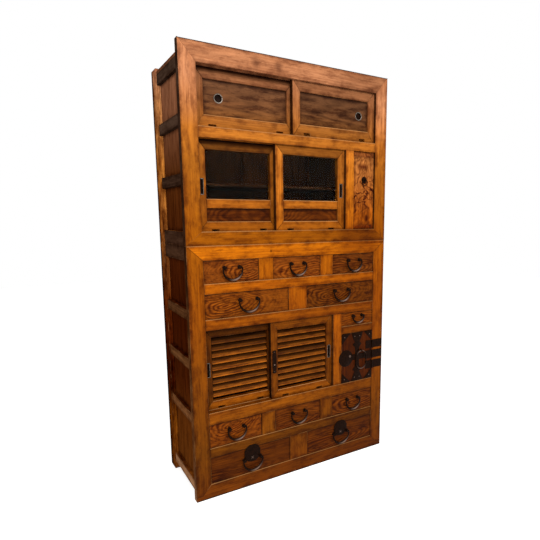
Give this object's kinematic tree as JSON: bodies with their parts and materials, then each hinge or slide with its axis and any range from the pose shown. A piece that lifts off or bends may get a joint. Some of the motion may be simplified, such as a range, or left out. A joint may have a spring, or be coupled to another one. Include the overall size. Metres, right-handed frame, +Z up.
{
  "type": "mizuya kitchen cabinet",
  "caption": "Tall two-case wooden kitchen cabinet with sliding panel, glass and louvre doors, an iron-bound door, and drawers with swinging iron handles.",
  "frame": {"origin": "bottom centre of the whole cabinet, handles included, on the floor", "axes": "+X to the right of someone facing the front, +Y to the back, +Z up"},
  "size_m": [0.945, 0.3935, 1.757],
  "materials": {
    "frame_wood": "wiped lacquer, satin",
    "front_wood": "bold-grained, lacquered",
    "panel_wood": "dark, satin",
    "board_wood": "stained, matt",
    "inner_wood": "bare, matt",
    "iron": "blackened, worn",
    "glass": "clear"
  },
  "bodies": {
    "cabinet": {"upper_case_frame": "frame_wood", "upper_case_boards": "board_wood", "upper_case_floors": "inner_wood", "lower_case_frame": "frame_wood", "lower_case_boards": "board_wood", "lower_case_floors": "inner_wood", "iron_door_case_hinges": "iron"},
    "panel_door_left": {"panel_door_left": "panel_wood", "panel_door_left_fittings": "iron"},
    "panel_door_right": {"panel_door_right": "panel_wood", "panel_door_right_fittings": "iron"},
    "glass_door_left": {"glass_door_left": "frame_wood", "glass_door_left_fittings": "iron", "glass_door_left_glass": "glass"},
    "glass_door_right": {"glass_door_right": "frame_wood", "glass_door_right_fittings": "iron", "glass_door_right_glass": "glass"},
    "louvre_door_left": {"louvre_door_left": "frame_wood", "louvre_door_left_fittings": "iron"},
    "louvre_door_right": {"louvre_door_right": "frame_wood", "louvre_door_right_fittings": "iron"},
    "plank_door": {"plank_door": "front_wood", "plank_door_fittings": "iron"},
    "plank_ring": {"plank_door_ring": "iron"},
    "iron_door": {"iron_door": "front_wood", "iron_door_binding": "iron"},
    "iron_ring": {"iron_door_ring": "iron"},
    "drawer_a1": {"drawer_a1": "front_wood", "drawer_a1_bosses": "iron"},
    "drawer_a1_bail": {"drawer_a1_bail": "iron"},
    "drawer_a2": {"drawer_a2": "front_wood", "drawer_a2_bosses": "iron"},
    "drawer_a2_bail": {"drawer_a2_bail": "iron"},
    "drawer_a3": {"drawer_a3": "front_wood", "drawer_a3_bosses": "iron"},
    "drawer_a3_bail": {"drawer_a3_bail": "iron"},
    "drawer_b1": {"drawer_b1": "front_wood", "drawer_b1_bosses": "iron"},
    "drawer_b1_bail": {"drawer_b1_bail": "iron"},
    "drawer_b2": {"drawer_b2": "front_wood", "drawer_b2_bosses": "iron"},
    "drawer_b2_bail": {"drawer_b2_bail": "iron"},
    "drawer_c1": {"drawer_c1": "front_wood", "drawer_c1_bosses": "iron"},
    "drawer_c1_bail": {"drawer_c1_bail": "iron"},
    "drawer_c2": {"drawer_c2": "front_wood", "drawer_c2_bosses": "iron"},
    "drawer_c2_bail": {"drawer_c2_bail": "iron"},
    "drawer_c3": {"drawer_c3": "front_wood", "drawer_c3_bosses": "iron"},
    "drawer_c3_bail": {"drawer_c3_bail": "iron"},
    "drawer_d1": {"drawer_d1": "front_wood", "drawer_d1_bosses": "iron"},
    "drawer_d1_bail": {"drawer_d1_bail": "iron"},
    "drawer_d2": {"drawer_d2": "front_wood", "drawer_d2_bosses": "iron"},
    "drawer_d2_bail": {"drawer_d2_bail": "iron"},
    "drawer_small": {"drawer_small": "front_wood", "drawer_small_bosses": "iron"},
    "drawer_small_bail": {"drawer_small_bail": "iron"}
  },
  "joints": [
    {"name": "panel_door_left_slide", "type": "slide", "parent": "cabinet", "child": "panel_door_left", "axis": [1, 0, 0], "range_m": [0, 0.3979]},
    {"name": "panel_door_right_slide", "type": "slide", "parent": "cabinet", "child": "panel_door_right", "axis": [1, 0, 0], "range_m": [-0.3979, 0]},
    {"name": "glass_door_left_slide", "type": "slide", "parent": "cabinet", "child": "glass_door_left", "axis": [1, 0, 0], "range_m": [0, 0.31665]},
    {"name": "glass_door_right_slide", "type": "slide", "parent": "cabinet", "child": "glass_door_right", "axis": [1, 0, 0], "range_m": [-0.31665, 0]},
    {"name": "louvre_door_left_slide", "type": "slide", "parent": "cabinet", "child": "louvre_door_left", "axis": [1, 0, 0], "range_m": [0, 0.2829]},
    {"name": "louvre_door_right_slide", "type": "slide", "parent": "cabinet", "child": "louvre_door_right", "axis": [1, 0, 0], "range_m": [-0.2829, 0]},
    {"name": "plank_door_pivot", "type": "hinge", "parent": "cabinet", "child": "plank_door", "pos_m": [0.3997, -0.16925, 1.2565], "axis": [0, 0, 1], "range_deg": [0, 90]},
    {"name": "plank_ring_swing", "type": "hinge", "parent": "plank_door", "child": "plank_ring", "pos_m": [0.3505, -0.18525, 1.307], "axis": [-1, 0, 0], "range_deg": [0, 95]},
    {"name": "iron_door_hinge", "type": "hinge", "parent": "cabinet", "child": "iron_door", "pos_m": [0.4095, -0.18555, 0.484], "axis": [0, 0, 1], "range_deg": [0, 110]},
    {"name": "iron_ring_swing", "type": "hinge", "parent": "iron_door", "child": "iron_ring", "pos_m": [0.3405, -0.19055, 0.512], "axis": [-1, 0, 0], "range_deg": [0, 95]},
    {"name": "drawer_a1_slide", "type": "slide", "parent": "cabinet", "child": "drawer_a1", "axis": [0, -1, 0], "range_m": [0, 0.24]},
    {"name": "drawer_a1_bail_swing", "type": "hinge", "parent": "drawer_a1", "child": "drawer_a1_bail", "pos_m": [-0.295, -0.19125, 0.945], "axis": [-1, 0, 0], "range_deg": [0, 95]},
    {"name": "drawer_a2_slide", "type": "slide", "parent": "cabinet", "child": "drawer_a2", "axis": [0, -1, 0], "range_m": [0, 0.24]},
    {"name": "drawer_a2_bail_swing", "type": "hinge", "parent": "drawer_a2", "child": "drawer_a2_bail", "pos_m": [0, -0.19125, 0.945], "axis": [-1, 0, 0], "range_deg": [0, 95]},
    {"name": "drawer_a3_slide", "type": "slide", "parent": "cabinet", "child": "drawer_a3", "axis": [0, -1, 0], "range_m": [0, 0.24]},
    {"name": "drawer_a3_bail_swing", "type": "hinge", "parent": "drawer_a3", "child": "drawer_a3_bail", "pos_m": [0.295, -0.19125, 0.945], "axis": [-1, 0, 0], "range_deg": [0, 95]},
    {"name": "drawer_b1_slide", "type": "slide", "parent": "cabinet", "child": "drawer_b1", "axis": [0, -1, 0], "range_m": [0, 0.24]},
    {"name": "drawer_b1_bail_swing", "type": "hinge", "parent": "drawer_b1", "child": "drawer_b1_bail", "pos_m": [-0.22725, -0.19125, 0.812], "axis": [-1, 0, 0], "range_deg": [0, 95]},
    {"name": "drawer_b2_slide", "type": "slide", "parent": "cabinet", "child": "drawer_b2", "axis": [0, -1, 0], "range_m": [0, 0.24]},
    {"name": "drawer_b2_bail_swing", "type": "hinge", "parent": "drawer_b2", "child": "drawer_b2_bail", "pos_m": [0.22725, -0.19125, 0.812], "axis": [-1, 0, 0], "range_deg": [0, 95]},
    {"name": "drawer_c1_slide", "type": "slide", "parent": "cabinet", "child": "drawer_c1", "axis": [0, -1, 0], "range_m": [0, 0.24]},
    {"name": "drawer_c1_bail_swing", "type": "hinge", "parent": "drawer_c1", "child": "drawer_c1_bail", "pos_m": [-0.295, -0.19125, 0.281], "axis": [-1, 0, 0], "range_deg": [0, 95]},
    {"name": "drawer_c2_slide", "type": "slide", "parent": "cabinet", "child": "drawer_c2", "axis": [0, -1, 0], "range_m": [0, 0.24]},
    {"name": "drawer_c2_bail_swing", "type": "hinge", "parent": "drawer_c2", "child": "drawer_c2_bail", "pos_m": [0, -0.19125, 0.281], "axis": [-1, 0, 0], "range_deg": [0, 95]},
    {"name": "drawer_c3_slide", "type": "slide", "parent": "cabinet", "child": "drawer_c3", "axis": [0, -1, 0], "range_m": [0, 0.24]},
    {"name": "drawer_c3_bail_swing", "type": "hinge", "parent": "drawer_c3", "child": "drawer_c3_bail", "pos_m": [0.295, -0.19125, 0.281], "axis": [-1, 0, 0], "range_deg": [0, 95]},
    {"name": "drawer_d1_slide", "type": "slide", "parent": "cabinet", "child": "drawer_d1", "axis": [0, -1, 0], "range_m": [0, 0.24]},
    {"name": "drawer_d1_bail_swing", "type": "hinge", "parent": "drawer_d1", "child": "drawer_d1_bail", "pos_m": [-0.22725, -0.19125, 0.125], "axis": [-1, 0, 0], "range_deg": [0, 95]},
    {"name": "drawer_d2_slide", "type": "slide", "parent": "cabinet", "child": "drawer_d2", "axis": [0, -1, 0], "range_m": [0, 0.24]},
    {"name": "drawer_d2_bail_swing", "type": "hinge", "parent": "drawer_d2", "child": "drawer_d2_bail", "pos_m": [0.22725, -0.19125, 0.125], "axis": [-1, 0, 0], "range_deg": [0, 95]},
    {"name": "drawer_small_slide", "type": "slide", "parent": "cabinet", "child": "drawer_small", "axis": [0, -1, 0], "range_m": [0, 0.24]},
    {"name": "drawer_small_bail_swing", "type": "hinge", "parent": "drawer_small", "child": "drawer_small_bail", "pos_m": [0.3205, -0.19125, 0.683], "axis": [-1, 0, 0], "range_deg": [0, 95]}
  ]
}
